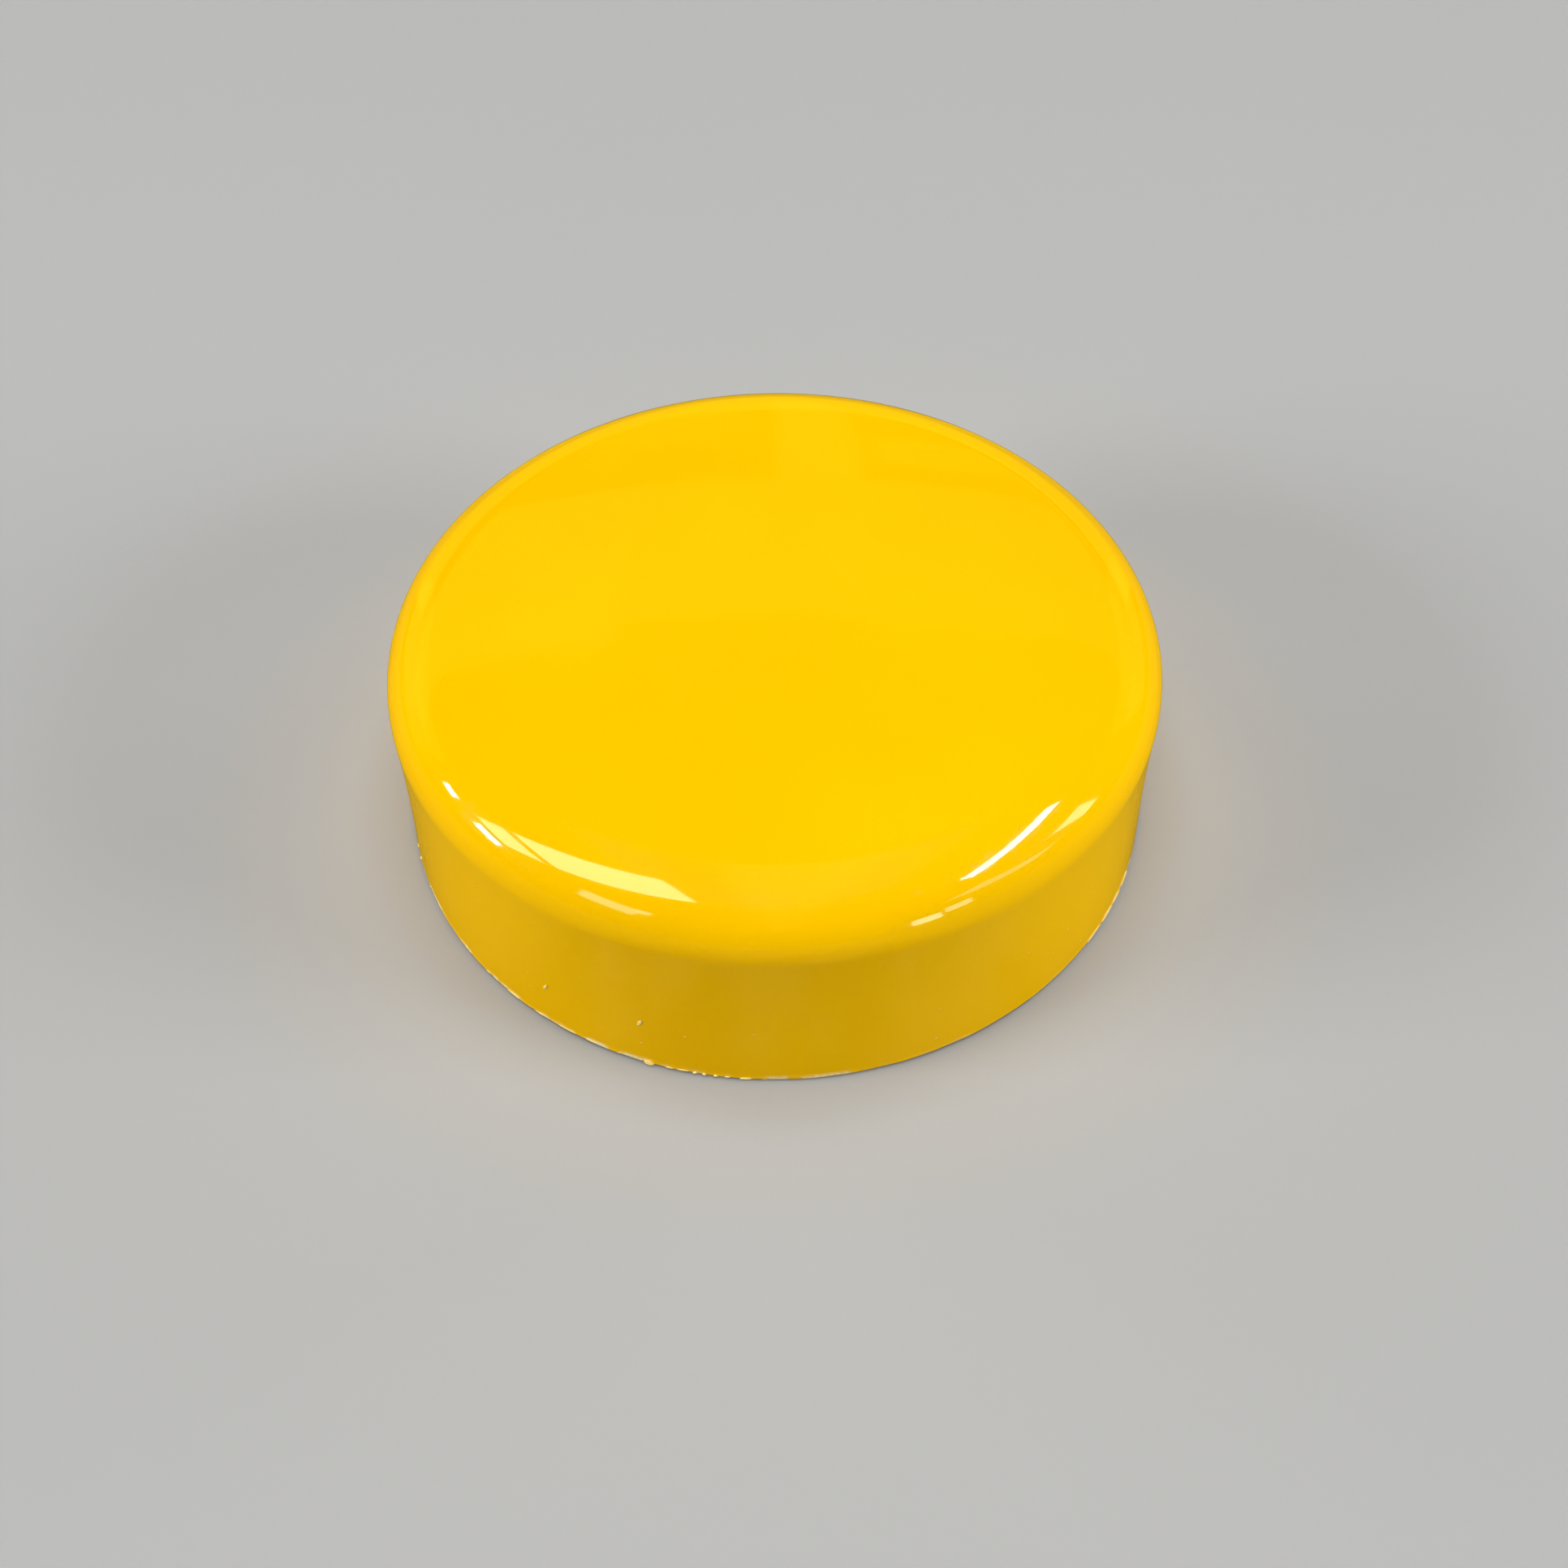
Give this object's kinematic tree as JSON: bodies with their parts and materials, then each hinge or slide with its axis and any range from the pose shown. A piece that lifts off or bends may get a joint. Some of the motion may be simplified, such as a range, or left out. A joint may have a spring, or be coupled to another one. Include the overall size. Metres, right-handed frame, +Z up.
{
  "type": "small curling stone",
  "caption": "Low round curling stone without a handle: glossy rounded cap over a weighted core, closed by a base plate with a raised running band.",
  "frame": {"origin": "centre of the running band's resting face, on the surface that the stone stands on", "axes": "+Z up along the stone's axis, towards the crowned top; +X and +Y in the resting plane, midway between screws"},
  "size_m": [0.0762, 0.0762, 0.0254],
  "materials": {
    "cap_yellow": "high-gloss moulded plastic in warm yellow, with a whitened trim edge at the rim",
    "spacer_foam": "fine closed-cell foam sheet, dark grey, matte",
    "ballast_iron": "as-cast skin with machined faces, lightly oiled",
    "soft_rubber": "matte black rubber",
    "base_black": "fine spark-textured moulding, satin black",
    "band_white": "turned low-friction plastic, waxy off-white, with faint sliding marks",
    "insert_brass": "turned and knurled brass",
    "screw_steel": "plain stainless steel, turned head"
  },
  "bodies": {
    "root": {"cap_shell": "cap_yellow", "foam_spacer": "spacer_foam", "ballast_disc": "ballast_iron", "damping_ring": "soft_rubber", "base_plate": "base_black", "seal_ring": "soft_rubber", "running_band": "band_white", "threaded_insert_1": "insert_brass", "threaded_insert_2": "insert_brass", "threaded_insert_3": "insert_brass", "threaded_insert_4": "insert_brass", "base_screw_1": "screw_steel", "base_screw_2": "screw_steel", "base_screw_3": "screw_steel", "base_screw_4": "screw_steel"}
  },
  "joints": []
}
